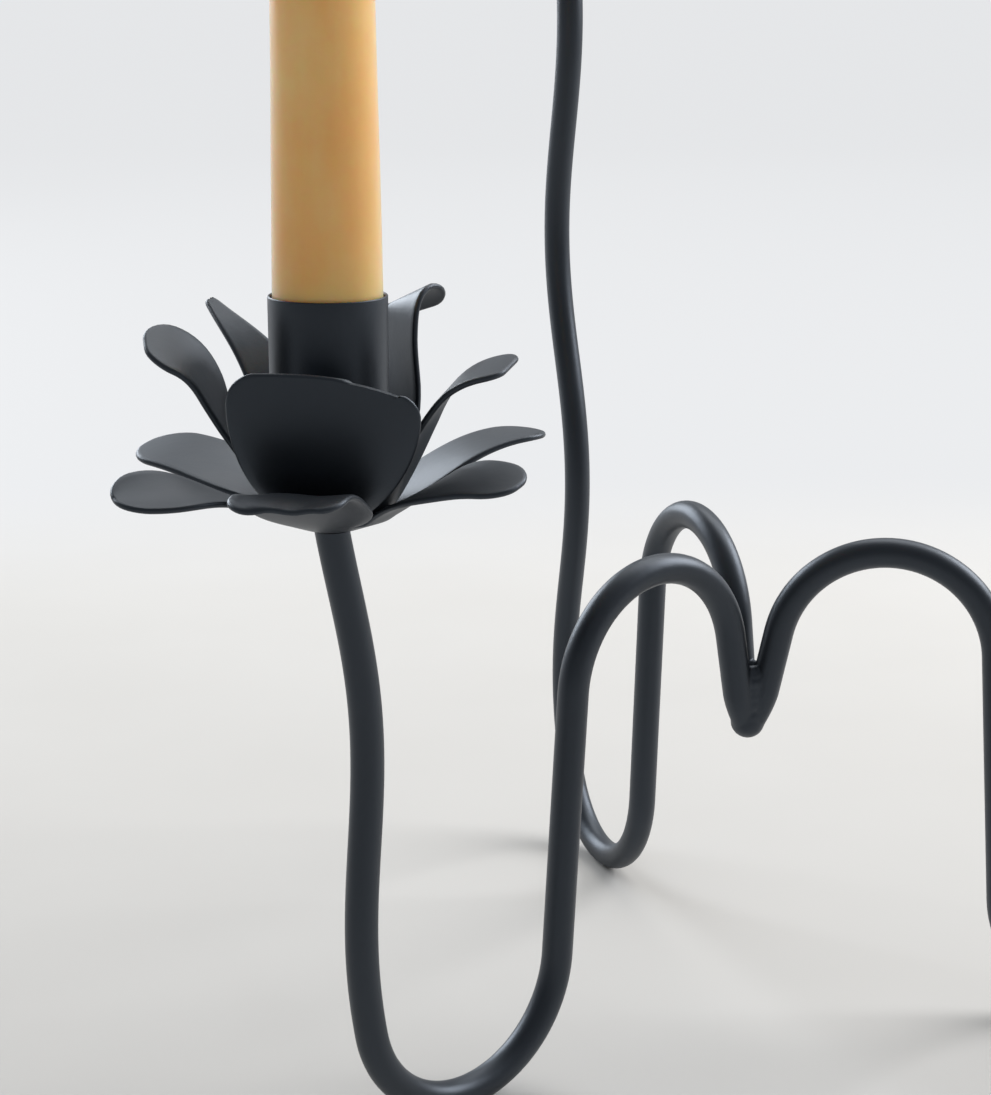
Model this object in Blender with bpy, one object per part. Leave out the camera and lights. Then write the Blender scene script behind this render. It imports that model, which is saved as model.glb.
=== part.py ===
"""Three-armed candelabrum of bent round rod, with sheet-metal flower candle cups.

Three rods are welded together at a hub that hangs under an arch of each rod. Every rod runs
from the hub over its arch, down an outer leg, round a foot loop on the table and up a waving
stem. A flower sits on each stem: two sheets cut into petals, a tube cup and a candle.
Lengths are in metres, Z is up, and the finished model stands on Z = 0.
"""
import math

import bmesh
import bpy
from mathutils import Vector

MM = 0.001
GAP = 0.3 * MM                     # clearance between pieces that touch in the real object

# Bent rod
ROD_R = 3.5 * MM                   # distance from the rod's centre to each of its flats
ROD_SIDES = 12
HUB_CUT_Z = 70.3 * MM              # the rods' lower ends are sawn level here
HUB_START_R = 2.26 * MM            # centreline distance from the hub axis at that cut
HUB_LEAN = math.radians(11.5)      # outward lean of the inner leg, going up
INNER_LEG_TOP = (6.73 * MM, 92.26 * MM)
ARCH_R = 25.6 * MM
LEG_LEAN = math.radians(4.0)       # the outer leg spreads outward going down
LEG_LENGTH = 60.5 * MM
FOOT_R = 27.0 * MM
ARCH_STEPS = 13
FOOT_STEPS = 12
STEM_STEP = 8.5 * MM

# Arm directions round the hub axis, and the plane that parts each pair of rods
ARM_MIDDLE = math.radians(0.0)
ARM_TALL = math.radians(120.0)
ARM_LOW = math.radians(231.5)
SAW_GAP = 0.15 * MM                # each rod end stays this far back from the parting plane

# Waving stems: lean, swing, wave period, phase and length
STEM_LOW = (math.radians(4.2), math.radians(9.1), 114 * MM, math.radians(134), 112.5 * MM)
STEM_MIDDLE = (math.radians(4.0), math.radians(12.0), 122 * MM, math.radians(126), 220 * MM)
STEM_TALL = (math.radians(3.8), math.radians(17.5), 130 * MM, math.radians(118), 330 * MM)

# Weld bead under the hub
WELD_BOTTOM_Z = 65.8 * MM
WELD_R = 5.1 * MM
WELD_LOBE = 0.1                    # how far the bead swells under each rod

# Flower stack, heights above the stem's end
SHEET = 1.2 * MM
LOWER_Z = GAP + SHEET / 2
UPPER_Z = 4.4 * MM
DISH_R = 12.0 * MM                 # petals start at this radius
DISH_SLOPE = math.radians(20.0)
LOWER_FLAT_R = 4.5 * MM
UPPER_FLAT_R = 8.5 * MM
SCREW_HOLE_R = 1.6 * MM
ROOT_FADE = 0.35                   # share of a petal over which its round root straightens
WAVES_ACROSS = 1.6
WAVES_ALONG = 1.1
PETAL_COLUMNS = 4
PETAL_ROWS = (0.14, 0.32, 0.52, 0.72, 0.87, 0.96, 1.0)   # share of the way to the tip

# Candle cup
CUP_Z = UPPER_Z + SHEET / 2 + GAP
CUP_RIM_Z = 46.5 * MM
CUP_RIM_R = 11.6 * MM
CUP_BASE_R = 11.5 * MM
CUP_BORE_R = 11.05 * MM
CUP_CORNER_R = 4.2 * MM
CUP_INNER_CORNER = 1.5 * MM
CUP_FLOOR = 2.0 * MM
CUP_SIDES = 32

# Fixing screw
SHANK_R = 1.2 * MM
SHANK_DEPTH = 5.8 * MM
BORE_R = 1.5 * MM
BORE_DEPTH = 6.4 * MM
HEAD_R = 2.6 * MM
KEY_R = 1.15 * MM
KEY_DEPTH = 0.8 * MM

# Candle and wick
CANDLE_R = 10.8 * MM
CANDLE_RIM_R = 10.7 * MM
CANDLE_RIM_Z = 39.0 * MM           # height of the cup's rim above the candle's base
CANDLE_TOP_R = 7.7 * MM
CANDLE_LENGTH = 235 * MM
CANDLE_TIP = 9.0 * MM
CANDLE_TIP_R = 2.4 * MM
CANDLE_CHAMFER = 1.5 * MM
WICK_HOLE_R = 1.2 * MM
WICK_HOLE_DEPTH = 6.0 * MM
WICK_R = 0.9 * MM
WICK_LENGTH = 16.0 * MM


def clear_scene():
    for thing in list(bpy.data.objects):
        bpy.data.objects.remove(thing, do_unlink=True)


def material(name, colour, roughness, metallic):
    made = bpy.data.materials.new(name)
    made.use_nodes = True
    shader = made.node_tree.nodes["Principled BSDF"]
    shader.inputs["Base Color"].default_value = (*colour, 1.0)
    shader.inputs["Roughness"].default_value = roughness
    shader.inputs["Metallic"].default_value = metallic
    made.diffuse_color = (*colour, 1.0)
    return made


def add_object(name, mesh_builder, finish, parent, place=(0, 0, 0), turn=0.0):
    """Link a bmesh as a named object, shaded smooth between its sharp edges."""
    bmesh.ops.recalc_face_normals(mesh_builder, faces=mesh_builder.faces[:])
    if mesh_builder.calc_volume(signed=True) < 0:
        bmesh.ops.reverse_faces(mesh_builder, faces=mesh_builder.faces[:])
    mesh = bpy.data.meshes.new(name)
    mesh_builder.to_mesh(mesh)
    mesh_builder.free()
    mesh.shade_smooth()
    mesh.set_sharp_from_angle(angle=math.radians(38))
    mesh.materials.append(finish)
    made = bpy.data.objects.new(name, mesh)
    made.parent = parent
    made.location = place
    made.rotation_euler = (0, 0, turn)
    bpy.context.scene.collection.objects.link(made)
    return made


def add_empty(name, parent, place):
    made = bpy.data.objects.new(name, None)
    made.empty_display_size = 0.02
    made.parent = parent
    made.location = place
    bpy.context.scene.collection.objects.link(made)
    return made


# ---------------------------------------------------------------- rod centreline

def step_along(start, heading, length):
    """A point further along a straight run; heading is measured from straight up, outward."""
    return (start[0] + length * math.sin(heading), start[1] + length * math.cos(heading))


def arc_points(start, heading, end_heading, radius, steps):
    """Centreline points of a bend, with the rod's heading at each one."""
    side = 1.0 if end_heading > heading else -1.0
    centre = (start[0] + side * radius * math.cos(heading),
              start[1] - side * radius * math.sin(heading))
    points = []
    for i in range(1, steps + 1):
        h = heading + (end_heading - heading) * i / steps
        points.append((centre[0] - side * radius * math.cos(h),
                       centre[1] + side * radius * math.sin(h), h))
    return points


def stem_points(start, lean, swing, period, phase, length):
    """A stem whose heading swings like a sine wave along its length."""
    count = round(length / STEM_STEP)
    step = length / count
    r, z = start
    points = []
    for i in range(1, count + 1):
        middle = lean + swing * math.sin(math.tau * (i - 0.5) * step / period + phase)
        r, z = step_along((r, z), middle, step)
        points.append((r, z, lean + swing * math.sin(math.tau * i * step / period + phase)))
    return points


def rod_centreline(stem):
    """The whole bent rod in its own upright plane: (radius, height, heading) for each ring."""
    lean, swing, _period, phase, _length = stem
    down = math.pi - LEG_LEAN
    path = [(HUB_START_R, HUB_CUT_Z, HUB_LEAN), (*INNER_LEG_TOP, HUB_LEAN)]
    path += arc_points(INNER_LEG_TOP, HUB_LEAN, down, ARCH_R, ARCH_STEPS)
    leg_end = step_along(path[-1][:2], down, LEG_LENGTH)
    path.append((*leg_end, down))
    path += arc_points(leg_end, down, math.pi / 2, FOOT_R, FOOT_STEPS // 2)
    foot_end = lean + swing * math.sin(phase)
    path += arc_points(path[-1][:2], math.pi / 2, foot_end, FOOT_R, FOOT_STEPS // 2)
    path += stem_points(path[-1][:2], *stem)
    lift = ROD_R - min(point[1] for point in path)
    return [(r, z + lift, h) for r, z, h in path]


# ---------------------------------------------------------------- rod solid

def ring(bm, arm, centre, radius, stretch=(1.0, 0.0)):
    """One polygon of the rod; stretch is its in-plane side direction (radius, height)."""
    corner = radius / math.cos(math.pi / ROD_SIDES)
    verts = []
    for k in range(ROD_SIDES):
        t = math.tau * (k + 0.5) / ROD_SIDES
        side = corner * math.cos(t)
        across = corner * math.sin(t)
        r = centre[0] + side * stretch[0]
        z = centre[1] + side * stretch[1]
        verts.append(bm.verts.new((r * math.cos(arm) - across * math.sin(arm),
                                   r * math.sin(arm) + across * math.cos(arm), z)))
    return verts


def bridge(bm, lower, upper):
    count = len(lower)
    for k in range(count):
        j = (k + 1) % count
        bm.faces.new((lower[k], lower[j], upper[j], upper[k]))


def trim_at_plane(bm, azimuth, keep_side):
    """Saw the rod along the upright plane through the hub axis at this azimuth."""
    normal = Vector((-math.sin(azimuth), math.cos(azimuth), 0.0)) * -keep_side
    bmesh.ops.bisect_plane(bm, geom=bm.verts[:] + bm.edges[:] + bm.faces[:],
                           plane_co=normal * -SAW_GAP, plane_no=normal,
                           clear_outer=True, dist=1e-7)
    open_edges = [edge for edge in bm.edges if len(edge.link_faces) == 1]
    bmesh.ops.holes_fill(bm, edges=open_edges, sides=0)


def rod_mesh(arm, path, plane_before, plane_after):
    """Sweep the rod, saw its hub end to a wedge and bore its top for the screw."""
    bm = bmesh.new()
    rings = []
    for i, (r, z, h) in enumerate(path):
        level_cut = i in (0, len(path) - 1)
        across = (1.0 / math.cos(h), 0.0) if level_cut else (math.cos(h), -math.sin(h))
        rings.append(ring(bm, arm, (r, z), ROD_R, across))
    for lower, upper in zip(rings, rings[1:]):
        bridge(bm, lower, upper)
    bm.faces.new(rings[0])
    top = path[-1]
    mouth = ring(bm, arm, top[:2], BORE_R)
    bottom = ring(bm, arm, (top[0], top[1] - BORE_DEPTH), BORE_R)
    bridge(bm, rings[-1], mouth)
    bridge(bm, mouth, bottom)
    bm.faces.new(bottom)
    trim_at_plane(bm, plane_before, 1.0)
    trim_at_plane(bm, plane_after, -1.0)
    return bm


def lathe(profile, sides, shape=None):
    """Turn a closed (radius, height) profile round Z; shape can vary a ring's radius."""
    bm = bmesh.new()
    rings = []
    for index, (radius, height) in enumerate(profile):
        if radius <= 0.0:
            rings.append([bm.verts.new((0.0, 0.0, height))])
            continue
        verts = []
        for k in range(sides):
            angle = math.tau * k / sides
            r = radius * shape(index, angle) if shape else radius
            verts.append(bm.verts.new((r * math.cos(angle), r * math.sin(angle), height)))
        rings.append(verts)
    pairs = list(zip(rings, rings[1:]))
    if profile[0][0] > 0.0:
        pairs.append((rings[-1], rings[0]))
    for low, high in pairs:
        join_rings(bm, low, high, sides)
    return bm


def join_rings(bm, low, high, sides):
    for k in range(sides):
        j = (k + 1) % sides
        corners = [low[k], low[j]] if len(low) > 1 else [low[0]]
        corners += [high[j], high[k]] if len(high) > 1 else [high[0]]
        bm.faces.new(corners)


def weld_mesh():
    """A rounded bead with a soft lobe under each of the three rods."""
    top = HUB_CUT_Z - GAP
    height = top - WELD_BOTTOM_Z
    steps = 5
    profile = [(0.0, WELD_BOTTOM_Z)]
    for i in range(1, steps + 1):
        t = math.pi / 2 * i / steps
        profile.append((WELD_R * math.sin(t) ** 0.8, top - height * math.cos(t)))
    profile.append((0.0, top))
    return lathe(profile, 24, lambda _i, a: 1.0 + WELD_LOBE * math.cos(3 * a))


# ---------------------------------------------------------------- petals

def petal(azimuth, reach, rise, wide, start, end, **extra):
    """Describe one petal, in millimetres and degrees: where its tip is, its greatest width,
    and the slopes at which it leaves the dish and ends."""
    shape = dict(azimuth=math.radians(azimuth), reach=reach * MM, rise=rise * MM,
                 wide=wide * MM, start=math.radians(start), end=math.radians(end),
                 leave=0.38, arrive=0.38, neck=9.0 * MM, spread=0.35, tip=0.9, square=4.0,
                 corner=4.0 * MM, twist=0.0, turn=0.55, bloom=1.0, drift=0.0, camber=0.0, wave=0.0,
                 slant=0.0)
    for key, value in extra.items():
        if key == "twist":
            value = math.radians(value)
        if key in ("neck", "corner", "drift", "wave"):
            value = value * MM
        shape[key] = value
    return shape


UPPER_PETALS = (
    petal(278, 22.0, 34.4, 37.8, 34, 84, leave=0.30, neck=13, spread=1.0, corner=4.5,
          slant=0.10, drift=1.3),
    petal(350, 37.0, 34.8, 14.5, 62, 8, leave=0.56, neck=12, spread=0.25, twist=9,
          corner=3.0),
    petal(62, 26.8, 40.8, 17.0, 56, -38, leave=0.66, arrive=0.42, twist=-24, drift=0),
    petal(134, 40.0, 41.0, 12.5, 76, 24, leave=0.60, tip=0.12, square=1.5, corner=0.8, drift=5,
          twist=-10),
    petal(206, 35.0, 38.5, 15.5, 56, 8, leave=0.56, twist=-26, neck=6.0, spread=0.95,
          corner=5.5),
)
LOWER_PETALS = (
    petal(276, 41.0, 13.4, 22.0, 22, -20, drift=-2.6, corner=3.5, wave=0.25),
    petal(336, 44.5, 14.6, 17.5, 36, -8, neck=7.0, spread=0.6, twist=15, turn=0.7,
          corner=4.5, tip=0.6, square=2.6, drift=-1),
    petal(36, 45.5, 15.6, 15.5, 34, -6, twist=-3, corner=6.5),
    petal(96, 46.0, 14.0, 18, 24, 10, corner=6.0),
    petal(156, 48.0, 11.6, 16, 24, 0, twist=-11, corner=6.5),
    petal(216, 43.5, 10.4, 19, 30, -4, twist=-19, turn=0.9, neck=3.5, spread=0.85, bloom=2.6,
          tip=0.55, square=2.6, corner=4.5, camber=0.12),
)


def petal_line(shape, root_z, u):
    """Centreline of a petal: a cubic curve in its own upright plane, with its slope."""
    p0 = Vector((DISH_R, root_z))
    p3 = Vector((shape["reach"], shape["rise"]))
    chord = (p3 - p0).length
    out = Vector((math.cos(shape["start"]), math.sin(shape["start"])))
    into = Vector((math.cos(shape["end"]), math.sin(shape["end"])))
    p1 = p0 + out * chord * shape["leave"]
    p2 = p3 - into * chord * shape["arrive"]
    v = 1.0 - u
    point = p0 * v**3 + p1 * (3 * v * v * u) + p2 * (3 * v * u * u) + p3 * u**3
    along = (p1 - p0) * v * v + (p2 - p1) * (2 * v * u) + (p3 - p2) * u * u
    return point, along.normalized(), chord


def petal_half_width(shape, u, chord):
    """Swells from the neck, holds, draws in towards the tip and ends with round corners."""
    swell = math.sin(min(1.0, u / shape["spread"]) * math.pi / 2) ** shape["bloom"]
    full = shape["neck"] + (shape["wide"] - shape["neck"]) * swell
    half = full * (1.0 - (1.0 - shape["tip"]) * u ** shape["square"]) / 2
    left = (1.0 - u) * chord
    corner = shape["corner"]
    if left < corner:
        half -= corner - math.sqrt(max(0.0, corner * corner - (corner - left) ** 2))
    return half


def petal_point(shape, root_z, root_half, u, v):
    """A point of the petal's middle surface; u runs to the tip, v from edge to edge."""
    half = petal_half_width(shape, u, petal_line(shape, root_z, u)[2])
    u *= 1.0 - shape["slant"] * ((1.0 + v) / 2) ** 3
    (r, z), along, _chord = petal_line(shape, root_z, u)
    ease = u * u * (3 - 2 * u)
    turned = min(1.0, u / shape["turn"])
    twist = shape["twist"] * turned * turned * (3 - 2 * turned)
    bow = half * shape["camber"] * v * v * ease
    bow += shape["wave"] * math.sin(math.pi * (WAVES_ACROSS * v + WAVES_ALONG * u)) * ease
    side = half * v * math.cos(twist) - bow * math.sin(twist) + shape["drift"] * ease
    lift = half * v * math.sin(twist) + bow * math.cos(twist)
    fade = max(0.0, 1.0 - u / ROOT_FADE)
    r += -along[1] * lift - DISH_R * (1.0 - math.cos(v * root_half)) * fade
    z += along[0] * lift
    a = shape["azimuth"]
    return (r * math.cos(a) - side * math.sin(a), r * math.sin(a) + side * math.cos(a), z)


def flower_sheet(shapes, centre_z, flat_r):
    """Middle surface of a sheet: a dished disc with a screw hole, and its petals."""
    per_petal = PETAL_COLUMNS + 2
    count = per_petal * len(shapes)
    pitch = math.tau / count
    first = shapes[0]["azimuth"] - pitch * PETAL_COLUMNS / 2
    root_z = centre_z + (DISH_R - flat_r) * math.tan(DISH_SLOPE)
    bm = bmesh.new()
    circles = []
    for radius, height in ((SCREW_HOLE_R, centre_z), (flat_r, centre_z), (DISH_R, root_z)):
        circles.append([bm.verts.new((radius * math.cos(first + pitch * k),
                                      radius * math.sin(first + pitch * k), height))
                        for k in range(count)])
    for low, high in zip(circles, circles[1:]):
        join_rings(bm, low, high, count)
    for index, shape in enumerate(shapes):
        roots = [circles[2][(index * per_petal + k) % count] for k in range(PETAL_COLUMNS + 1)]
        grow_petal(bm, shape, roots, root_z, pitch * PETAL_COLUMNS / 2)
    return bm


def grow_petal(bm, shape, roots, root_z, root_half):
    last = roots
    for u in PETAL_ROWS:
        row = []
        for k in range(PETAL_COLUMNS + 1):
            v = 2.0 * k / PETAL_COLUMNS - 1.0
            row.append(bm.verts.new(petal_point(shape, root_z, root_half, u, v)))
        for k in range(PETAL_COLUMNS):
            bm.faces.new((last[k], last[k + 1], row[k + 1], row[k]))
        last = row


def thicken(sheet, thickness):
    """Give a middle surface its thickness, with a wall along every free edge."""
    sheet.verts.ensure_lookup_table()
    bmesh.ops.recalc_face_normals(sheet, faces=sheet.faces[:])
    sheet.normal_update()
    bm = bmesh.new()
    upper = [bm.verts.new(v.co + v.normal * thickness / 2) for v in sheet.verts]
    lower = [bm.verts.new(v.co - v.normal * thickness / 2) for v in sheet.verts]
    for face in sheet.faces:
        ids = [v.index for v in face.verts]
        bm.faces.new([upper[i] for i in ids])
        bm.faces.new([lower[i] for i in reversed(ids)])
    for edge in sheet.edges:
        if len(edge.link_faces) == 1:
            a, b = (v.index for v in edge.verts)
            bm.faces.new((upper[a], upper[b], lower[b], lower[a]))
    sheet.free()
    return bm


# ---------------------------------------------------------------- cup, screw, candle, wick

def corner(centre_r, centre_z, radius, steps):
    """Quarter round from a flat bottom up to a wall, for a turned profile."""
    return [(centre_r + radius * math.sin(math.pi / 2 * i / steps),
             centre_z - radius * math.cos(math.pi / 2 * i / steps))
            for i in range(1, steps + 1)]


def cup_mesh():
    floor_top = CUP_Z + CUP_FLOOR
    flat_r = CUP_BASE_R - CUP_CORNER_R
    sink_r = HEAD_R + 0.1 * MM + GAP * math.sqrt(2)
    lip = (CUP_RIM_R - CUP_BORE_R) * 0.2
    profile = [(BORE_R, CUP_Z), (flat_r, CUP_Z)]
    profile += corner(flat_r, CUP_Z + CUP_CORNER_R, CUP_CORNER_R, 4)
    profile += [(CUP_RIM_R, CUP_RIM_Z - lip), (CUP_RIM_R - lip, CUP_RIM_Z),
                (CUP_BORE_R + lip, CUP_RIM_Z), (CUP_BORE_R, CUP_RIM_Z - lip),
                (CUP_BORE_R, floor_top + CUP_INNER_CORNER),
                (CUP_BORE_R - CUP_INNER_CORNER, floor_top),
                (sink_r, floor_top), (BORE_R, floor_top - (sink_r - BORE_R))]
    return lathe(profile, CUP_SIDES)


def screw_mesh():
    """Countersunk screw with a six-sided key recess, its head just below the cup floor."""
    top = CUP_Z + CUP_FLOOR - 0.1 * MM
    profile = [(0.0, -SHANK_DEPTH), (SHANK_R * 0.7, -SHANK_DEPTH),
               (SHANK_R, -SHANK_DEPTH + 0.4 * MM), (SHANK_R, top - (HEAD_R - SHANK_R)),
               (HEAD_R, top), (KEY_R, top), (KEY_R, top - KEY_DEPTH), (0.0, top - KEY_DEPTH)]

    def six_sided(index, angle):
        if index in (5, 6):
            return math.cos(math.pi / 6) / math.cos(angle % (math.pi / 3) - math.pi / 6)
        return 1.0

    return lathe(profile, 24, six_sided)


def candle_mesh():
    """Tapered candle with its base at Z = 0 and a blind hole for the wick."""
    tip_z = CANDLE_LENGTH + CANDLE_TIP
    profile = [(0.0, 0.0), (CANDLE_R - CANDLE_CHAMFER, 0.0), (CANDLE_R, CANDLE_CHAMFER)]
    profile.append((CANDLE_RIM_R, CANDLE_RIM_Z))
    rows = 3
    for i in range(1, rows + 1):
        share = i / rows
        profile.append((CANDLE_RIM_R + (CANDLE_TOP_R - CANDLE_RIM_R) * share,
                        CANDLE_RIM_Z + (CANDLE_LENGTH - CANDLE_RIM_Z) * share))
    for i in range(1, 4):
        t = math.pi / 2 * i / 3
        profile.append((CANDLE_TIP_R + (CANDLE_TOP_R - CANDLE_TIP_R) * math.cos(t),
                        CANDLE_LENGTH + CANDLE_TIP * math.sin(t)))
    profile += [(WICK_HOLE_R, tip_z), (WICK_HOLE_R, tip_z - WICK_HOLE_DEPTH),
                (0.0, tip_z - WICK_HOLE_DEPTH)]
    return lathe(profile, 28)


def wick_mesh():
    start = CANDLE_LENGTH + CANDLE_TIP - WICK_HOLE_DEPTH + GAP
    end = start + WICK_LENGTH
    profile = [(0.0, start), (WICK_R, start), (WICK_R, end - WICK_R * 0.6),
               (WICK_R * 0.6, end), (0.0, end)]
    return lathe(profile, 10)


# ---------------------------------------------------------------- assembly

def add_flower(name, parent, place, turn, finishes):
    metal, wax, cotton, steel = finishes
    lower = flower_sheet(LOWER_PETALS, LOWER_Z, LOWER_FLAT_R)
    upper = flower_sheet(UPPER_PETALS, UPPER_Z, UPPER_FLAT_R)
    add_object("lower_petals_" + name, thicken(lower, SHEET), metal, parent, place, turn)
    add_object("upper_petals_" + name, thicken(upper, SHEET), metal, parent, place, turn)
    add_object("candle_cup_" + name, cup_mesh(), metal, parent, place)
    add_object("fixing_screw_" + name, screw_mesh(), steel, parent, place)
    seat = Vector(place) + Vector((0, 0, CUP_Z + CUP_FLOOR + GAP))
    lift = add_empty("candle_lift_" + name, parent, seat)
    add_object("candle_" + name, candle_mesh(), wax, lift)
    add_object("wick_" + name, wick_mesh(), cotton, lift)


def centre_on_footprint(root):
    """Move the root so that the model's box stands centred on the origin."""
    bpy.context.view_layer.update()
    corners = [thing.matrix_world @ vert.co for thing in bpy.data.objects
               if thing.type == "MESH" for vert in thing.data.vertices]
    low = [min(point[i] for point in corners) for i in range(3)]
    high = [max(point[i] for point in corners) for i in range(3)]
    root.location = (-(low[0] + high[0]) / 2, -(low[1] + high[1]) / 2, -low[2])


def build():
    clear_scene()
    metal = material("black_powder_coat", (0.028, 0.031, 0.037), 0.42, 0.0)
    wax = material("beeswax", (0.55, 0.36, 0.16), 0.5, 0.0)
    cotton = material("wick_cotton", (0.72, 0.66, 0.54), 0.9, 0.0)
    steel = material("screw_steel", (0.5, 0.5, 0.52), 0.35, 1.0)
    finishes = (metal, wax, cotton, steel)
    root = add_empty("candelabrum", None, (0, 0, 0))
    arms = (("middle", ARM_MIDDLE, STEM_MIDDLE, math.radians(150)),
            ("tall", ARM_TALL, STEM_TALL, math.radians(40)),
            ("low", ARM_LOW, STEM_LOW, 0.0))
    for index, (name, arm, stem, turn) in enumerate(arms):
        before = (arms[index - 1][1] + arm) / 2 + (math.pi if index == 0 else 0.0)
        after = (arms[(index + 1) % 3][1] + arm) / 2 + (math.pi if index == 2 else 0.0)
        path = rod_centreline(stem)
        add_object("arm_rod_" + name, rod_mesh(arm, path, before, after), metal, root)
        end_r, end_z, _heading = path[-1]
        place = (end_r * math.cos(arm), end_r * math.sin(arm), end_z)
        add_flower(name, root, place, turn, finishes)
    add_object("hub_weld", weld_mesh(), metal, root)
    centre_on_footprint(root)


build()
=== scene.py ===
import math

import bpy
import bmesh
import numpy as np
from mathutils import Matrix, Vector, noise


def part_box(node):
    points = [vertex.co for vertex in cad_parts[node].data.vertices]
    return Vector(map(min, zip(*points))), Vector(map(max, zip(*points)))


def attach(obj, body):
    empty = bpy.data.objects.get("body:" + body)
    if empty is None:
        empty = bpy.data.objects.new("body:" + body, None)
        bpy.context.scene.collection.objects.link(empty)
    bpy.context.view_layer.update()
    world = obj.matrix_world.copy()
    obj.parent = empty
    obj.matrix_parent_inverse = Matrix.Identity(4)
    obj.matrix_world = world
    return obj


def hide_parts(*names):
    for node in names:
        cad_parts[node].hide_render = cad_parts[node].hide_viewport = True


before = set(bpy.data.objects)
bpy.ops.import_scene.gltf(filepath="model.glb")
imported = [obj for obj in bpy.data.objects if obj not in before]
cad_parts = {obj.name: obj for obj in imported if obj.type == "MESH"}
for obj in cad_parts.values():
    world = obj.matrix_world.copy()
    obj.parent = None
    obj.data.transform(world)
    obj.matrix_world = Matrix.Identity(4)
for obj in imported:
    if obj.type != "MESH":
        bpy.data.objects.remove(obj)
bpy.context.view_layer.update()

MM = 0.001

# Rods: the same centreline as the CAD rods, in millimetres and radians
ROD_R = 3.5
BORE_R = 1.5                    # screw hole in the stem's end and in the cup's floor
BORE_DEPTH = 6.4
HUB_START = (2.26, 70.3)
HUB_LEAN = math.radians(11.5)
INNER_LEG_TOP = (6.73, 92.26)
ARCH_R = 25.6
LEG_LEAN = math.radians(4.0)
LEG_LENGTH = 60.5
FOOT_R = 27.0
# Direction of each arm, its stem's lean, swing, wave period, phase and length, and the
# turn of its flower
ARMS = {"middle": math.radians(0.0), "tall": math.radians(120.0), "low": math.radians(231.5)}
STEMS = {
    "low": (math.radians(4.2), math.radians(9.1), 114.0, math.radians(134), 112.5),
    "middle": (math.radians(4.0), math.radians(12.0), 122.0, math.radians(126), 220.0),
    "tall": (math.radians(3.8), math.radians(17.5), 130.0, math.radians(118), 330.0),
}
TURNS = {"low": 0.0, "middle": math.radians(150), "tall": math.radians(40)}

# Weld: rod ends run together into one bead under the hub
WELD_TOP_Z = 86.0
WELD_MELT_Z = 69.7              # below this the rod ends have run into one bead
WELD_MELT_LENGTH = 8.0
WELD_STEPS = 30
WELD_VOXEL = 0.32
WELD_END_R = 2.5                # what is left of each rod at its molten end
WELD_SKIN_R = ROD_R + 0.06      # the skin just covers the rod
WELD_FEATHER = 0.35             # and sinks into it by this much at its top
WELD_DRAW_IN = 0.6              # the molten ends are drawn together by this much
# Beads on the hub axis as (height, radius), and fillets between the rods as (r, z, radius)
WELD_BEADS = ((69.9, 4.1), (71.6, 4.1), (73.8, 3.9), (76.5, 3.4), (79.0, 2.8))
WELD_FILLETS = ((1.9, 75.0, 2.6), (2.0, 76.8, 2.6), (2.1, 78.5, 2.5), (2.2, 80.2, 2.5),
                (2.3, 81.8, 2.0), (2.4, 83.0, 1.5))

# Flower stack, heights above the stem's end
SHEET = 1.2
LOWER_Z = 0.9
UPPER_Z = 4.4
DISH_R = 12.0
DISH_SLOPE = math.radians(20.0)
LOWER_FLAT_R = 4.5
UPPER_FLAT_R = 8.5
SCREW_HOLE_R = 1.6
ROOT_FADE = 0.35                # share of a petal over which its round root straightens
WAVES_ACROSS = 1.6
WAVES_ALONG = 1.1
COLUMNS = 16
ROWS = 26
TIP_ROWS = 10
EDGE_LEVELS = 5                 # steps round the sheet's half-round edge

# Cup above the stem's end, candle and wick above the candle's foot
CUP_Z = 5.3
CUP_RIM_Z = 46.5
CUP_RIM_R = 11.6
CUP_BASE_R = 11.5
CUP_BORE_R = 11.05
CUP_FLOOR = 2.0
CUP_CORNER_R = 4.2
SINK_R = 3.12                   # countersink for the fixing screw
SINK_DEPTH = 1.6
CANDLE_GAP = 0.3                # between the cup's floor and the candle
CANDLE_R = 10.8
CANDLE_RIM_R = 10.7             # at the height of the cup's rim
CANDLE_RIM_Z = 39.0
CANDLE_TOP_R = 7.7
CANDLE_LENGTH = 235.0
CANDLE_TIP = 9.0
CANDLE_CORNER_R = 1.5
CANDLE_CROWN_R = 2.4            # small flat round the wick
WAVER = 0.09                    # how far the hand-made sides stray
WAVER_FROM_Z = 45.0             # none where the candle sits in its cup
WICK_R = 0.86
WICK_HOLE_R = 1.2
WICK_DEPTH = 5.7                # how deep the wick is sunk in the tip
WICK_LENGTH = 16.0

# Floor, in metres and linear colours: a warm board near the object, a cool glow beyond it
FLOOR_SIZE = 120.0
FLOOR_CENTRE = 1.2              # the near board is a disc centred this far in front of the hub
FLOOR_FADE = (1.55, 1.80)       # and fades between these radii
FLOOR_NEAR_DARK = (0.56, 0.545, 0.522)
FLOOR_NEAR_LIGHT = (0.578, 0.564, 0.542)
FLOOR_FAR = (0.02, 0.02, 0.02)
FLOOR_GLOW = (0.765, 0.775, 0.79)

# Lights: place from the hub in metres, size in metres, power in watts, colour
CEILING = ((0.3, 1.0, 1.75), (2.0, 1.2), 21.0, (1.0, 0.99, 0.97))
WINDOW = ((1.35, 0.9, 1.1), (1.2, 1.0), 33.0, (0.97, 0.98, 1.0))
LEFT_SIDE = ((-1.4, 1.1, 0.8), (1.1, 1.0), 24.0, (0.90, 0.95, 1.0))
WALL_DISTANCE = 2.3             # behind the object, straight away from the camera
WALL_HEIGHT = 1.0
WALL_SIZE = (3.4, 1.7)
WALL_POWER = 6.0
WALL_COLOUR = (0.88, 0.94, 1.0)
LIGHT_AIM_Z = 0.12
WORLD_COLOUR = (0.93, 0.96, 1.0)
WORLD_STRENGTH = 0.26

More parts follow.
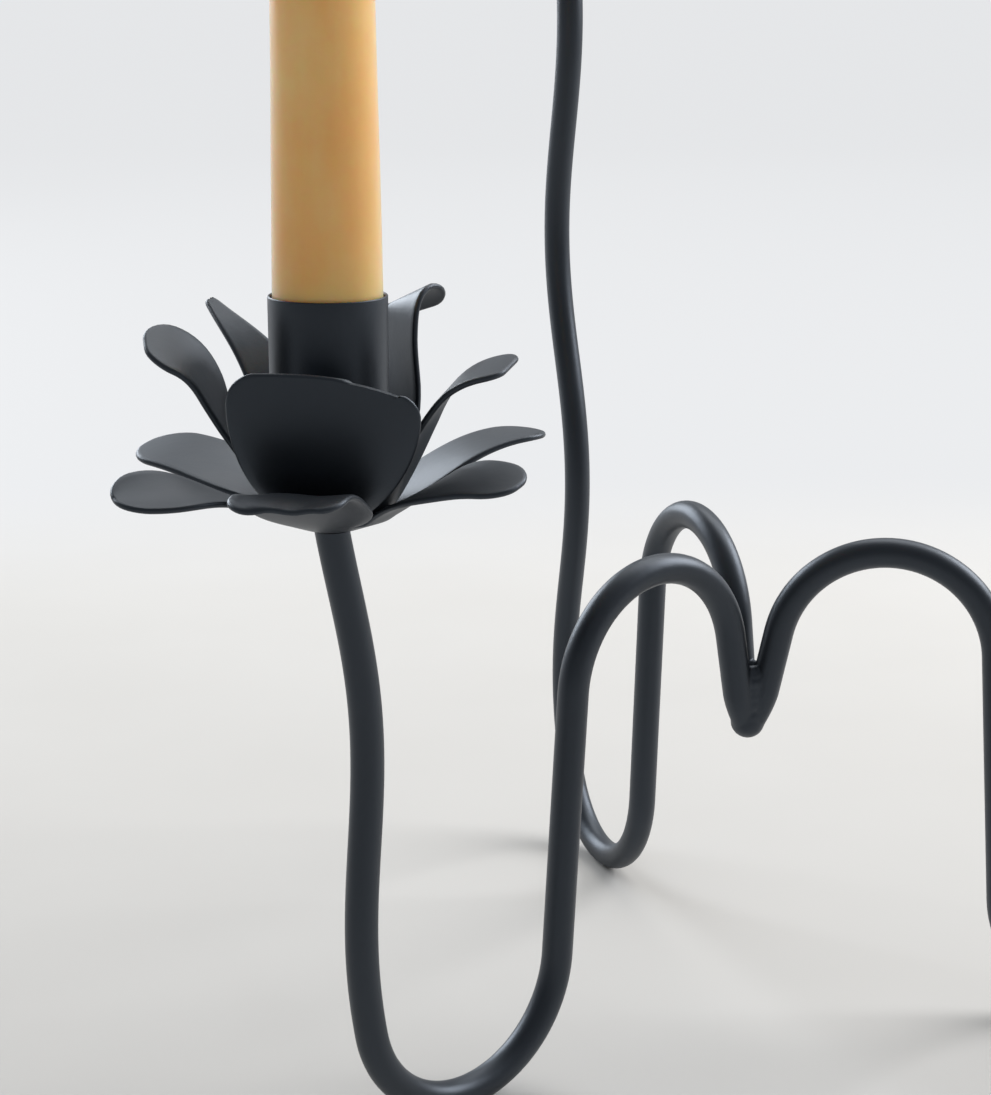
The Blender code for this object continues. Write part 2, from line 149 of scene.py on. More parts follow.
# Camera: place from the hub in metres, and the way it looks
CAMERA_PLACE = (0.0321, -0.5178, 0.2443)
CAMERA_AZIMUTH = math.radians(100.216)
CAMERA_PITCH = math.radians(14.334)
SENSOR = 36.0                   # long side of the picture, in millimetres
LENS = 74.597


# ---------------------------------------------------------------- rod paths

def step_along(start, heading, length):
    return (start[0] + length * math.sin(heading), start[1] + length * math.cos(heading))


def arc_points(start, heading, end_heading, radius, steps):
    side = 1.0 if end_heading > heading else -1.0
    centre = (start[0] + side * radius * math.cos(heading),
              start[1] - side * radius * math.sin(heading))
    points = []
    for i in range(1, steps + 1):
        h = heading + (end_heading - heading) * i / steps
        points.append((centre[0] - side * radius * math.cos(h),
                       centre[1] + side * radius * math.sin(h), h))
    return points


def stem_points(start, lean, swing, period, phase, length, spacing):
    count = round(length / spacing)
    step = length / count
    r, z = start
    points = []
    for i in range(1, count + 1):
        middle = lean + swing * math.sin(math.tau * (i - 0.5) * step / period + phase)
        r, z = step_along((r, z), middle, step)
        points.append((r, z, lean + swing * math.sin(math.tau * i * step / period + phase)))
    return points


def rod_centreline(stem):
    """Points (r, z, heading) from the hub over the arch and under the foot to the stem's end."""
    lean, swing, _period, phase, _length = stem
    down = math.pi - LEG_LEAN
    path = [(*HUB_START, HUB_LEAN)]
    run = math.dist(HUB_START, INNER_LEG_TOP)
    path += [(*step_along(HUB_START, HUB_LEAN, run * i / 8), HUB_LEAN) for i in range(1, 9)]
    path[-1] = (*INNER_LEG_TOP, HUB_LEAN)
    path += arc_points(INNER_LEG_TOP, HUB_LEAN, down, ARCH_R, 52)
    top = path[-1][:2]
    path += [(*step_along(top, down, LEG_LENGTH * i / 16), down) for i in range(1, 17)]
    path += arc_points(path[-1][:2], down, math.pi / 2, FOOT_R, 28)
    foot_end = lean + swing * math.sin(phase)
    path += arc_points(path[-1][:2], math.pi / 2, foot_end, FOOT_R, 28)
    path += stem_points(path[-1][:2], *stem, 2.2)
    lift = ROD_R - min(point[1] for point in path)
    return [(r, z + lift, h) for r, z, h in path]


# ---------------------------------------------------------------- mesh helpers

def link_mesh(name, verts, faces, smooth_angle=40):
    mesh = bpy.data.meshes.new(name)
    mesh.from_pydata([tuple(c * MM for c in v) for v in verts], [], faces)
    bm = bmesh.new()
    bm.from_mesh(mesh)
    bmesh.ops.recalc_face_normals(bm, faces=bm.faces[:])
    bm.to_mesh(mesh)
    bm.free()
    mesh.shade_smooth()
    mesh.set_sharp_from_angle(angle=math.radians(smooth_angle))
    made = bpy.data.objects.new(name, mesh)
    bpy.context.scene.collection.objects.link(made)
    return made


def strip_faces(low, high, closed=True):
    count = len(low)
    last = count if closed else count - 1
    return [(low[k], low[(k + 1) % count], high[(k + 1) % count], high[k]) for k in range(last)]


def lathe(name, profile, sides, wobble=None):
    """Turn a (radius, height) profile round Z; radius 0 closes an end."""
    verts, faces, rings = [], [], []
    for radius, height in profile:
        if radius <= 0:
            rings.append([len(verts)])
            verts.append((0.0, 0.0, height))
            continue
        rings.append(list(range(len(verts), len(verts) + sides)))
        for k in range(sides):
            angle = math.tau * k / sides
            r = radius + (wobble(angle, height) if wobble else 0.0)
            verts.append((r * math.cos(angle), r * math.sin(angle), height))
    pairs = list(zip(rings, rings[1:]))
    if profile[0][0] > 0:
        pairs.append((rings[-1], rings[0]))
    for low, high in pairs:
        for k in range(sides):
            j = (k + 1) % sides
            corners = [low[k], low[j]] if len(low) > 1 else [low[0]]
            corners += [high[j], high[k]] if len(high) > 1 else [high[0]]
            faces.append(tuple(corners))
    return link_mesh(name, verts, faces)


def rod_piece(name, arm, path, sides=32):
    """Round rod swept along its path, with a level top end and a small bored hole."""
    verts, faces, rings = [], [], []

    def add_ring(r, z, h, radius, level):
        across = (1.0 / math.cos(h), 0.0) if level else (math.cos(h), -math.sin(h))
        ids = []
        for k in range(sides):
            t = math.tau * (k + 0.5) / sides
            side, wide = radius * math.cos(t), radius * math.sin(t)
            rr, zz = r + side * across[0], z + side * across[1]
            ids.append(len(verts))
            verts.append((rr * math.cos(arm) - wide * math.sin(arm),
                          rr * math.sin(arm) + wide * math.cos(arm), zz))
        rings.append(ids)

    for i, (r, z, h) in enumerate(path):
        add_ring(r, z, h, ROD_R, i == len(path) - 1)
    end_r, end_z, end_h = path[-1]
    add_ring(end_r, end_z, end_h, BORE_R, False)
    add_ring(end_r, end_z - BORE_DEPTH, 0.0, BORE_R, False)
    for low, high in zip(rings, rings[1:]):
        faces += strip_faces(low, high)
    faces += [tuple(rings[0]), tuple(rings[-1])]
    return link_mesh(name, verts, faces)


# ---------------------------------------------------------------- petals

def petal(azimuth, reach, rise, wide, start, end, **extra):
    """Describe one petal, in millimetres and degrees: where its tip is, its greatest width,
    and the slopes at which it leaves the dish and ends."""
    shape = dict(azimuth=math.radians(azimuth), reach=reach, rise=rise, wide=wide,
                 start=math.radians(start), end=math.radians(end), leave=0.38, arrive=0.38,
                 neck=9.0, spread=0.35, bloom=1.0, tip=0.9, square=4.0, corner=4.0,
                 twist=0.0, turn=0.55, drift=0.0, camber=0.0, wave=0.0, slant=0.0)
    shape.update({key: math.radians(value) if key == "twist" else value
                  for key, value in extra.items()})
    return shape


UPPER_PETALS = (
    petal(278, 22.0, 34.4, 37.8, 34, 84, leave=0.30, neck=13, spread=1.0, corner=4.5,
          slant=0.10, drift=1.3),
    petal(350, 37.0, 34.8, 14.5, 62, 8, leave=0.56, neck=12, spread=0.25, twist=9,
          corner=3.0),
    petal(62, 26.8, 40.8, 17.0, 56, -38, leave=0.66, arrive=0.42, twist=-24, drift=0),
    petal(134, 40.0, 41.0, 12.5, 76, 24, leave=0.60, tip=0.12, square=1.5, corner=0.8, drift=5,
          twist=-10),
    petal(206, 35.0, 38.5, 15.5, 56, 8, leave=0.56, twist=-26, neck=6.0, spread=0.95,
          corner=5.5),
)
LOWER_PETALS = (
    petal(276, 41.0, 13.4, 22.0, 22, -20, drift=-2.6, corner=3.5, wave=0.25),
    petal(336, 44.5, 14.6, 17.5, 36, -8, neck=7.0, spread=0.6, twist=15, turn=0.7,
          corner=4.5, tip=0.6, square=2.6, drift=-1),
    petal(36, 45.5, 15.6, 15.5, 34, -6, twist=-3, corner=6.5),
    petal(96, 46.0, 14.0, 18, 24, 10, corner=6.0),
    petal(156, 48.0, 11.6, 16, 24, 0, twist=-11, corner=6.5),
    petal(216, 43.5, 10.4, 19, 30, -4, twist=-19, turn=0.9, neck=3.5, spread=0.85, bloom=2.6,
          tip=0.55, square=2.6, corner=4.5, camber=0.12),
)


def petal_line(shape, root_z, u):
    """Centreline of a petal: a cubic curve in its own upright plane, with its slope."""
    p0 = Vector((DISH_R, root_z))
    p3 = Vector((shape["reach"], shape["rise"]))
    chord = (p3 - p0).length
    out = Vector((math.cos(shape["start"]), math.sin(shape["start"])))
    into = Vector((math.cos(shape["end"]), math.sin(shape["end"])))
    p1 = p0 + out * chord * shape["leave"]
    p2 = p3 - into * chord * shape["arrive"]
    v = 1.0 - u
    point = p0 * v**3 + p1 * (3 * v * v * u) + p2 * (3 * v * u * u) + p3 * u**3
    along = (p1 - p0) * v * v + (p2 - p1) * (2 * v * u) + (p3 - p2) * u * u
    return point, along.normalized(), chord


def petal_half_width(shape, u, chord):
    """Swells from the neck, holds, draws in, and ends with round corners."""
    swell = math.sin(min(1.0, u / shape["spread"]) * math.pi / 2) ** shape["bloom"]
    full = shape["neck"] + (shape["wide"] - shape["neck"]) * swell
    half = full * (1.0 - (1.0 - shape["tip"]) * u ** shape["square"]) / 2
    left = (1.0 - u) * chord
    corner = shape["corner"]
    if left < corner:
        half -= corner - math.sqrt(max(0.0, corner * corner - (corner - left) ** 2))
    return half


def petal_point(shape, root_z, root_half, u, v):
    """A point of the petal's middle surface; u runs to the tip, v from edge to edge."""
    half = petal_half_width(shape, u, petal_line(shape, root_z, u)[2])
    u *= 1.0 - shape["slant"] * ((1.0 + v) / 2) ** 3
    (r, z), along, _chord = petal_line(shape, root_z, u)
    ease = u * u * (3 - 2 * u)
    turned = min(1.0, u / shape["turn"])
    twist = shape["twist"] * turned * turned * (3 - 2 * turned)
    up = Vector((-along[1], along[0]))
    bow = half * shape["camber"] * v * v * ease
    bow += shape["wave"] * math.sin(math.pi * (WAVES_ACROSS * v + WAVES_ALONG * u)) * ease
    side = half * v * math.cos(twist) - bow * math.sin(twist) + shape["drift"] * ease
    lift = half * v * math.sin(twist) + bow * math.cos(twist)
    fade = max(0.0, 1.0 - u / ROOT_FADE)
    r += up[0] * lift - DISH_R * (1.0 - math.cos(v * root_half)) * fade
    z += up[1] * lift
    a = shape["azimuth"]
    return (r * math.cos(a) - side * math.sin(a), r * math.sin(a) + side * math.cos(a), z)


def petal_rows():
    """Steps from root to tip, closer together in the rounded end."""
    even = [i / ROWS for i in range(1, ROWS - 4)]
    last = even[-1]
    return even + [last + (1 - last) * math.sin(math.pi / 2 * i / TIP_ROWS)
                   for i in range(1, TIP_ROWS + 1)]


def flower_sheet(name, shapes, centre_z, flat_r):
    """A dished disc with petals, given thickness and a half-round edge all the way round."""
    per_petal = COLUMNS * 3 // 2
    count = per_petal * len(shapes)
    pitch = math.tau / count
    first = shapes[0]["azimuth"] - pitch * COLUMNS / 2
    root_z = centre_z + (DISH_R - flat_r) * math.tan(DISH_SLOPE)
    verts, faces, circles = [], [], []
    radii = [(SCREW_HOLE_R, centre_z), (flat_r * 0.6, centre_z), (flat_r - 0.7, centre_z)]
    radii += [(flat_r + (DISH_R - flat_r) * i / 5,
               centre_z + (DISH_R - flat_r) * i / 5 * math.tan(DISH_SLOPE)) for i in range(1, 6)]
    for radius, height in radii:
        circles.append(list(range(len(verts), len(verts) + count)))
        verts += [(radius * math.cos(first + pitch * k), radius * math.sin(first + pitch * k),
                   height) for k in range(count)]
    for low, high in zip(circles, circles[1:]):
        faces += strip_faces(low, high)
    root_half = pitch * COLUMNS / 2
    for index, shape in enumerate(shapes):
        last = [circles[-1][(index * per_petal + k) % count] for k in range(COLUMNS + 1)]
        for u in petal_rows():
            row = list(range(len(verts), len(verts) + COLUMNS + 1))
            verts += [petal_point(shape, root_z, root_half, u, 2.0 * k / COLUMNS - 1.0)
                      for k in range(COLUMNS + 1)]
            faces += strip_faces(last, row, closed=False)
            last = row
    return rounded_sheet(name, verts, faces, SHEET)


def rounded_sheet(name, verts, faces, thickness):
    """Thicken a middle surface to both sides and close its free edges with a half round."""
    points = np.array(verts)
    tris = np.array([(f[0], f[1], f[2]) for f in faces] + [(f[0], f[2], f[3]) for f in faces])
    cross = np.cross(points[tris[:, 1]] - points[tris[:, 0]],
                     points[tris[:, 2]] - points[tris[:, 0]])
    normals = np.zeros_like(points)
    for column in range(3):
        np.add.at(normals, tris[:, column], cross)
    normals /= np.linalg.norm(normals, axis=1)[:, None]
    if normals[:, 2].mean() < 0:
        normals = -normals
        faces = [tuple(reversed(f)) for f in faces]
    used = {}
    for face in faces:
        for a, b in zip(face, face[1:] + face[:1]):
            used[(a, b)] = True
    rim = [(a, b) for (a, b) in used if (b, a) not in used]
    outward = np.zeros_like(points)
    for a, b in rim:
        out = np.cross(points[b] - points[a], normals[a] + normals[b])
        out /= max(np.linalg.norm(out), 1e-9)
        outward[a] += out
        outward[b] += out
    half = thickness / 2
    count = len(points)
    made = [points + normals * half, points - normals * half]
    rim_ids = sorted({a for a, _b in rim})
    slot = {vid: i for i, vid in enumerate(rim_ids)}
    out_dir = outward[rim_ids]
    out_dir /= np.linalg.norm(out_dir, axis=1)[:, None]
    for step in range(1, EDGE_LEVELS + 1):
        t = math.pi * step / (EDGE_LEVELS + 1)
        made.append(points[rim_ids] + normals[rim_ids] * half * math.cos(t)
                    + out_dir * half * math.sin(t))
    everything = np.vstack(made)
    quads = [tuple(f) for f in faces] + [tuple(count + i for i in reversed(f)) for f in faces]

    def level_id(vid, step):
        if step == 0:
            return vid
        if step == EDGE_LEVELS + 1:
            return vid + count
        return 2 * count + (step - 1) * len(rim_ids) + slot[vid]

    for a, b in rim:
        for step in range(EDGE_LEVELS + 1):
            quads.append((level_id(b, step), level_id(a, step),
                          level_id(a, step + 1), level_id(b, step + 1)))
    return link_mesh(name, everything.tolist(), quads, 60)


# ---------------------------------------------------------------- cup, candle, wick

def quarter(centre_r, centre_z, radius, steps):
    """Quarter circle in a turned profile, from a flat bottom up to the wall."""
    return [(centre_r + radius * math.sin(math.pi / 2 * i / steps),
             centre_z - radius * math.cos(math.pi / 2 * i / steps)) for i in range(steps + 1)]


def cup_piece(name):
    """Tube cup with a rounded foot, a rolled lip and a countersunk hole in its floor."""
    floor_top = CUP_Z + CUP_FLOOR
    lip = (CUP_RIM_R - CUP_BORE_R) / 2
    low = CUP_Z + CUP_CORNER_R
    profile = [(BORE_R, CUP_Z)]
    profile += quarter(CUP_BASE_R - CUP_CORNER_R, low, CUP_CORNER_R, 12)
    rows = 10
    profile += [(CUP_BASE_R + (CUP_RIM_R - CUP_BASE_R) * i / rows,
                 low + (CUP_RIM_Z - lip - low) * i / rows) for i in range(1, rows + 1)]
    profile += [(CUP_RIM_R - lip + lip * math.cos(math.pi * i / 8),
                 CUP_RIM_Z - lip + lip * math.sin(math.pi * i / 8)) for i in range(1, 9)]
    profile += [(CUP_BORE_R, floor_top + 1.5), (CUP_BORE_R - 0.5, floor_top + 0.5),
                (CUP_BORE_R - 1.5, floor_top), (SINK_R, floor_top), (BORE_R, floor_top - SINK_DEPTH)]
    return lathe(name, profile, 96)


def candle_piece(name, seed):
    """Hand-poured taper: straight sides with a faint waver and a domed tip."""
    profile = [(0.0, 0.0)]
    profile += quarter(CANDLE_R - CANDLE_CORNER_R, CANDLE_CORNER_R, CANDLE_CORNER_R, 5)
    rows = 60
    for i in range(1, rows + 1):
        height = CANDLE_CORNER_R + (CANDLE_LENGTH - CANDLE_CORNER_R) * i / rows
        radius = np.interp(height, (CANDLE_CORNER_R, CANDLE_RIM_Z, CANDLE_LENGTH),
                           (CANDLE_R, CANDLE_RIM_R, CANDLE_TOP_R))
        profile.append((float(radius), height))
    for i in range(1, 11):
        t = math.pi / 2 * i / 10
        profile.append((CANDLE_CROWN_R + (CANDLE_TOP_R - CANDLE_CROWN_R) * math.cos(t),
                        CANDLE_LENGTH + CANDLE_TIP * math.sin(t)))
    end = CANDLE_LENGTH + CANDLE_TIP
    profile += [(WICK_HOLE_R, end - 0.2), (WICK_HOLE_R, end - WICK_DEPTH - CANDLE_GAP),
                (0.0, end - WICK_DEPTH - CANDLE_GAP)]

    def waver(angle, height):
        if height > CANDLE_LENGTH or height < WAVER_FROM_Z:
            return 0.0
        place = Vector((math.cos(angle), math.sin(angle), height * 0.04 + seed * 7.1))
        return WAVER * noise.noise(place)

    return lathe(name, profile, 96, waver)


def wick_piece(name):
    """Plaited cotton wick with a rounded end."""
    start = CANDLE_LENGTH + CANDLE_TIP - WICK_DEPTH
    rows = 40
    profile = [(0.0, start)]
    for i in range(rows + 1):
        share = i / rows
        radius = WICK_R * math.sqrt(max(0.05, 1.0 - max(0.0, share - 0.94) / 0.06))
        profile.append((radius, start + WICK_LENGTH * share))
    profile.append((0.0, start + WICK_LENGTH + 0.05))

    def plait(angle, height):
        return 0.07 * math.sin(3 * angle + height * 3.1) * math.sin(height * 2.2)

    return lathe(name, profile, 24, plait)


# ---------------------------------------------------------------- weld

def weld_balls(arms):
    """Balls (centre, radius) that the weld's skin is drawn over, round the hub axis."""
    lean = math.tan(HUB_LEAN)
    balls = [(Vector((0, 0, z)), radius) for z, radius in WELD_BEADS]
    for arm in arms:
        outward = Vector((math.cos(arm), math.sin(arm), 0))
        for i in range(WELD_STEPS + 1):
            z = WELD_MELT_Z + (WELD_TOP_Z - WELD_MELT_Z) * i / WELD_STEPS
            melt = min(1.0, (z - WELD_MELT_Z) / WELD_MELT_LENGTH)
            fade = max(0.0, 5.0 * i / WELD_STEPS - 4.0)
            radius = (WELD_END_R + (WELD_SKIN_R - WELD_END_R) * math.sin(melt * math.pi / 2)
                      - WELD_FEATHER * fade)
            r = HUB_START[0] + (z - HUB_START[1]) * lean - WELD_DRAW_IN * (1.0 - melt)
            balls.append((outward * r + Vector((0, 0, z)), radius))
    for first, second in zip(arms, arms[1:] + [arms[0] + math.tau]):
        between = (first + second) / 2
        outward = Vector((math.cos(between), math.sin(between), 0))
        balls += [(outward * r + Vector((0, 0, z)), radius) for r, z, radius in WELD_FILLETS]
    return balls


def weld_piece(name):
    """The three rod ends melted together into one bead, blended into one skin."""
    bm = bmesh.new()
    for centre, radius in weld_balls(sorted(ARMS.values())):
        ball = bmesh.ops.create_icosphere(bm, subdivisions=3, radius=radius * MM)
        bmesh.ops.translate(bm, verts=ball["verts"], vec=centre * MM)
    mesh = bpy.data.meshes.new(name)
    bm.to_mesh(mesh)
    bm.free()
    made = bpy.data.objects.new(name, mesh)
    bpy.context.scene.collection.objects.link(made)
    skin = made.modifiers.new("skin", "REMESH")
    skin.mode = "VOXEL"
    skin.voxel_size = WELD_VOXEL * MM
    skin.use_smooth_shade = True
    soften = made.modifiers.new("soften", "SMOOTH")
    soften.factor = 0.5
    soften.iterations = 7
    return made


# ---------------------------------------------------------------- materials

def new_material(name):
    made = bpy.data.materials.new(name)
    made.use_nodes = True
    tree = made.node_tree
    return made, tree, tree.nodes["Principled BSDF"]


def texture_node(tree, kind, scale, **values):
    node = tree.nodes.new(kind)
    node.inputs["Scale"].default_value = scale
    for key, value in values.items():
        node.inputs[key].default_value = value
    return node


def ramp(tree, source, stops):
    node = tree.nodes.new("ShaderNodeValToRGB")
    while len(node.color_ramp.elements) < len(stops):
        node.color_ramp.elements.new(0.5)
    for element, (place, colour) in zip(node.color_ramp.elements, stops):
        element.position = place
        element.color = (*colour, 1.0)
    tree.links.new(source, node.inputs["Fac"])
    return node


def bump(tree, source, strength, distance, base=None):
    node = tree.nodes.new("ShaderNodeBump")
    node.inputs["Strength"].default_value = strength
    node.inputs["Distance"].default_value = distance
    tree.links.new(source, node.inputs["Height"])
    if base:
        tree.links.new(base.outputs["Normal"], node.inputs["Normal"])
    return node


def powder_coat():
    """Black satin powder coat: fine orange peel, faint dusty patches."""
    made, tree, shader = new_material("powder_coat")
    coords = tree.nodes.new("ShaderNodeTexCoord")
    cloud = texture_node(tree, "ShaderNodeTexNoise", 55.0, Detail=4.0)
    grain = texture_node(tree, "ShaderNodeTexNoise", 1900.0, Detail=2.0)
    peel = texture_node(tree, "ShaderNodeTexNoise", 420.0, Detail=1.0)
    for node in (cloud, grain, peel):
        tree.links.new(coords.outputs["Object"], node.inputs["Vector"])
    tint = ramp(tree, cloud.outputs["Fac"],
                [(0.3, (0.0062, 0.0076, 0.0096)), (0.7, (0.0100, 0.0120, 0.0150))])
    tree.links.new(tint.outputs["Color"], shader.inputs["Base Color"])
    rough = ramp(tree, cloud.outputs["Fac"], [(0.25, (0.38,) * 3), (0.75, (0.48,) * 3)])
    tree.links.new(rough.outputs["Color"], shader.inputs["Roughness"])
    shader.inputs["Specular IOR Level"].default_value = 0.75
    # Painted reflection colour: the blue specular tint stands in for the colour of the sky light,
    # not of the coat
    shader.inputs["Specular Tint"].default_value = (0.73, 0.84, 1.0, 1.0)
    first = bump(tree, peel.outputs["Fac"], 0.25, 0.0001)
    second = bump(tree, grain.outputs["Fac"], 0.18, 0.00004, first)
    tree.links.new(second.outputs["Normal"], shader.inputs["Normal"])
    return made


def beeswax():
    """Honey-coloured wax: cloudy, faintly streaked and a little translucent."""
    made, tree, shader = new_material("beeswax")
    coords = tree.nodes.new("ShaderNodeTexCoord")
    stretch = tree.nodes.new("ShaderNodeMapping")
    stretch.inputs["Scale"].default_value = (1.0, 1.0, 0.18)
    tree.links.new(coords.outputs["Object"], stretch.inputs["Vector"])
    streak = texture_node(tree, "ShaderNodeTexNoise", 130.0, Detail=3.0)
    tree.links.new(stretch.outputs["Vector"], streak.inputs["Vector"])
    cloud = texture_node(tree, "ShaderNodeTexNoise", 60.0, Detail=5.0)
    tree.links.new(coords.outputs["Object"], cloud.inputs["Vector"])
    blend = tree.nodes.new("ShaderNodeMix")
    blend.inputs["Factor"].default_value = 0.5
    tree.links.new(streak.outputs["Fac"], blend.inputs["A"])
    tree.links.new(cloud.outputs["Fac"], blend.inputs["B"])
    tint = ramp(tree, blend.outputs["Result"],
                [(0.3, (0.96, 0.52, 0.15)), (0.5, (0.98, 0.60, 0.20)),
                 (0.72, (0.98, 0.70, 0.28))])
    tree.links.new(tint.outputs["Color"], shader.inputs["Base Color"])
    shader.inputs["Roughness"].default_value = 0.36
    shader.inputs["Sheen Weight"].default_value = 0.6
    shader.inputs["Sheen Roughness"].default_value = 0.4
    shader.inputs["Subsurface Weight"].default_value = 0.8
    shader.inputs["Subsurface Radius"].default_value = (1.0, 0.38, 0.10)
    shader.inputs["Subsurface Scale"].default_value = 0.009
    normal = bump(tree, cloud.outputs["Fac"], 0.25, 0.0003)
    tree.links.new(normal.outputs["Normal"], shader.inputs["Normal"])
    return made


def cotton():
    """Unbleached cotton fibre for the wicks."""
    made, tree, shader = new_material("wick_cotton")
    coords = tree.nodes.new("ShaderNodeTexCoord")
    fibre = texture_node(tree, "ShaderNodeTexNoise", 3000.0, Detail=3.0)
    tree.links.new(coords.outputs["Object"], fibre.inputs["Vector"])
    tint = ramp(tree, fibre.outputs["Fac"],
                [(0.3, (0.52, 0.44, 0.30)), (0.7, (0.80, 0.74, 0.60))])
    tree.links.new(tint.outputs["Color"], shader.inputs["Base Color"])
    shader.inputs["Roughness"].default_value = 0.85
    normal = bump(tree, fibre.outputs["Fac"], 0.6, 0.0001)
    tree.links.new(normal.outputs["Normal"], shader.inputs["Normal"])
    return made


def zinc():
    """Bright zinc plating on the fixing screws."""
    made, tree, shader = new_material("screw_steel")
    coords = tree.nodes.new("ShaderNodeTexCoord")
    mottle = texture_node(tree, "ShaderNodeTexNoise", 900.0, Detail=3.0)
    tree.links.new(coords.outputs["Object"], mottle.inputs["Vector"])
    tint = ramp(tree, mottle.outputs["Fac"],
                [(0.3, (0.42, 0.43, 0.45)), (0.7, (0.62, 0.62, 0.62))])
    tree.links.new(tint.outputs["Color"], shader.inputs["Base Color"])
    shader.inputs["Metallic"].default_value = 1.0
    shader.inputs["Roughness"].default_value = 0.35
    return made


def floor_material():
    """Pale warm board near the object, passing softly into a cooler white beyond it."""
    made, tree, shader = new_material("floor")
    coords = tree.nodes.new("ShaderNodeTexCoord")
    reach = tree.nodes.new("ShaderNodeVectorMath")
    reach.operation = "DISTANCE"
    reach.inputs[1].default_value = (0.0, -FLOOR_CENTRE, 0.0)
    tree.links.new(coords.outputs["Object"], reach.inputs[0])
    fade = tree.nodes.new("ShaderNodeMapRange")
    fade.interpolation_type = "SMOOTHSTEP"
    fade.inputs["From Min"].default_value = FLOOR_FADE[0]
    fade.inputs["From Max"].default_value = FLOOR_FADE[1]
    tree.links.new(reach.outputs["Value"], fade.inputs["Value"])
    cloud = texture_node(tree, "ShaderNodeTexNoise", 9.0, Detail=3.0)
    tree.links.new(coords.outputs["Object"], cloud.inputs["Vector"])
    near = ramp(tree, cloud.outputs["Fac"], [(0.3, FLOOR_NEAR_DARK), (0.7, FLOOR_NEAR_LIGHT)])
    blend = tree.nodes.new("ShaderNodeMix")
    blend.data_type = "RGBA"
    tree.links.new(fade.outputs["Result"], blend.inputs[0])
    tree.links.new(near.outputs["Color"], blend.inputs[6])
    blend.inputs[7].default_value = (*FLOOR_FAR, 1.0)
    tree.links.new(blend.outputs[2], shader.inputs["Base Color"])
    tree.links.new(fade.outputs["Result"], shader.inputs["Emission Strength"])
    shader.inputs["Emission Color"].default_value = (*FLOOR_GLOW, 1.0)
    shader.inputs["Roughness"].default_value = 0.85
    shader.inputs["Specular IOR Level"].default_value = 0.2
    return made


# ---------------------------------------------------------------- assembly

def place_flower(name, base, turn, coat, wax, thread):
    """Stack one flower's pieces on the stem's end, hand each to its body and hide the CAD node it
    replaces.
    """
    candle_z = CUP_Z + CUP_FLOOR + CANDLE_GAP
    pieces = (
        (flower_sheet("petals_below_" + name, LOWER_PETALS, LOWER_Z, LOWER_FLAT_R),
         "lower_petals_" + name, "stand", coat, turn, 0.0),
        (flower_sheet("petals_above_" + name, UPPER_PETALS, UPPER_Z, UPPER_FLAT_R),
         "upper_petals_" + name, "stand", coat, turn, 0.0),
        (cup_piece("cup_" + name), "candle_cup_" + name, "stand", coat, 0.0, 0.0),
        (candle_piece("taper_" + name, len(name)), "candle_" + name, name + "_candle",
         wax, 0.0, candle_z),
        (wick_piece("thread_" + name), "wick_" + name, name + "_candle",
         thread, 0.0, candle_z),
    )
    for piece, node, body, finish, spin, height in pieces:
        piece.location = base + Vector((0, 0, height)) * MM
        piece.data.transform(Matrix.Rotation(spin, 4, "Z"))
        finish_piece(piece, node, body, finish)


def finish_piece(piece, node, body, finish):
    piece.data.materials.clear()
    piece.data.materials.append(finish)
    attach(piece, body)
    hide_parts(node)


def node_centre(node):
    low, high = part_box(node)
    return (Vector(low) + Vector(high)) / 2


def build_object():
    """Make every visible piece and place it from the CAD frame; return the hub's place."""
    coat, wax, thread, steel = powder_coat(), beeswax(), cotton(), zinc()
    paths = {name: rod_centreline(STEMS[name]) for name in ARMS}
    cup = node_centre("candle_cup_low")
    end_r = paths["low"][-1][0] * MM
    hub = Vector((cup.x - end_r * math.cos(ARMS["low"]), cup.y - end_r * math.sin(ARMS["low"]), 0))
    for name, arm in ARMS.items():
        rod = rod_piece("rod_" + name, arm, paths[name][3:])
        rod.location = hub
        finish_piece(rod, "arm_rod_" + name, "stand", coat)
        cup = node_centre("candle_cup_" + name)
        base = Vector((cup.x, cup.y, paths[name][-1][1] * MM))
        place_flower(name, base, TURNS[name], coat, wax, thread)
        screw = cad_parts["fixing_screw_" + name]
        screw.data.materials.clear()
        screw.data.materials.append(steel)
    weld = weld_piece("weld")
    weld.location = hub
    finish_piece(weld, "hub_weld", "stand", coat)
    return hub


def add_floor(hub):
    bpy.ops.mesh.primitive_plane_add(size=FLOOR_SIZE, location=(hub.x, hub.y, 0))
    floor = bpy.context.object
    floor.name = "floor"
    floor.rotation_euler = (0, 0, CAMERA_AZIMUTH - math.pi / 2)
    floor.data.materials.append(floor_material())


def add_area(name, place, target, size, power, colour):
    data = bpy.data.lights.new(name, "AREA")
    data.shape = "RECTANGLE"
    data.size, data.size_y = size
    data.energy = power
    data.color = colour
    light = bpy.data.objects.new(name, data)
    light.location = place
    light.rotation_euler = (target - Vector(place)).to_track_quat("-Z", "Y").to_euler()
    bpy.context.scene.collection.objects.link(light)


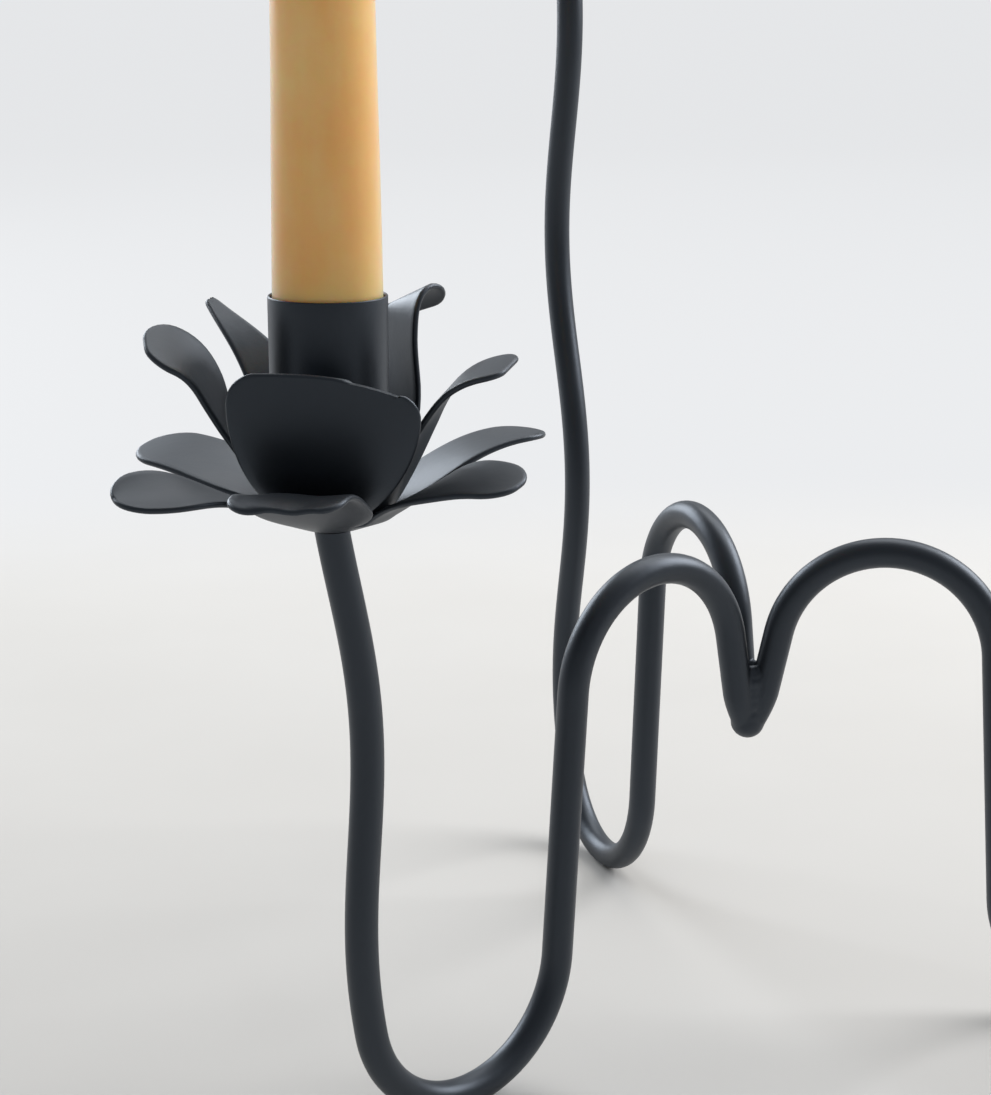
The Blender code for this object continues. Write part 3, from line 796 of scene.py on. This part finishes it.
def add_lights(hub):
    """Three soft panels above and behind the object, and a broad dim one for the far wall."""
    middle = hub + Vector((0, 0, LIGHT_AIM_Z))
    for name, target, (place, size, power, colour) in (
            ("ceiling", hub, CEILING), ("window", middle, WINDOW),
            ("left_side", middle, LEFT_SIDE)):
        add_area(name, hub + Vector(place), target, size, power, colour)
    away = Vector((math.cos(CAMERA_AZIMUTH), math.sin(CAMERA_AZIMUTH), 0))
    wall = hub + away * WALL_DISTANCE + Vector((0, 0, WALL_HEIGHT))
    add_area("wall", wall, middle, WALL_SIZE, WALL_POWER, WALL_COLOUR)


def add_world():
    """A dim cool room that lights the object, seen as the same pale tone as the far floor."""
    world = bpy.data.worlds.new("soft_room")
    world.use_nodes = True
    tree = world.node_tree
    room = tree.nodes["Background"]
    room.inputs["Color"].default_value = (*WORLD_COLOUR, 1.0)
    room.inputs["Strength"].default_value = WORLD_STRENGTH
    backdrop = tree.nodes.new("ShaderNodeBackground")
    backdrop.inputs["Color"].default_value = (*FLOOR_GLOW, 1.0)
    rays = tree.nodes.new("ShaderNodeLightPath")
    choose = tree.nodes.new("ShaderNodeMixShader")
    tree.links.new(rays.outputs["Is Camera Ray"], choose.inputs[0])
    tree.links.new(room.outputs[0], choose.inputs[1])
    tree.links.new(backdrop.outputs[0], choose.inputs[2])
    tree.links.new(choose.outputs[0], tree.nodes["World Output"].inputs["Surface"])
    bpy.context.scene.world = world


def add_camera(hub):
    """Camera at the photograph's height, distance and angle."""
    data = bpy.data.cameras.new("camera")
    data.sensor_width = SENSOR
    data.lens = LENS
    camera = bpy.data.objects.new("camera", data)
    camera.location = hub + Vector(CAMERA_PLACE)
    level = math.cos(CAMERA_PITCH)
    look = Vector((level * math.cos(CAMERA_AZIMUTH), level * math.sin(CAMERA_AZIMUTH),
                   -math.sin(CAMERA_PITCH)))
    camera.rotation_euler = look.to_track_quat("-Z", "Y").to_euler()
    bpy.context.scene.collection.objects.link(camera)
    bpy.context.scene.camera = camera


hub_place = build_object()
add_camera(hub_place)
add_floor(hub_place)
add_world()
add_lights(hub_place)
bpy.context.scene.view_settings.view_transform = "Standard"

bpy.context.view_layer.update()
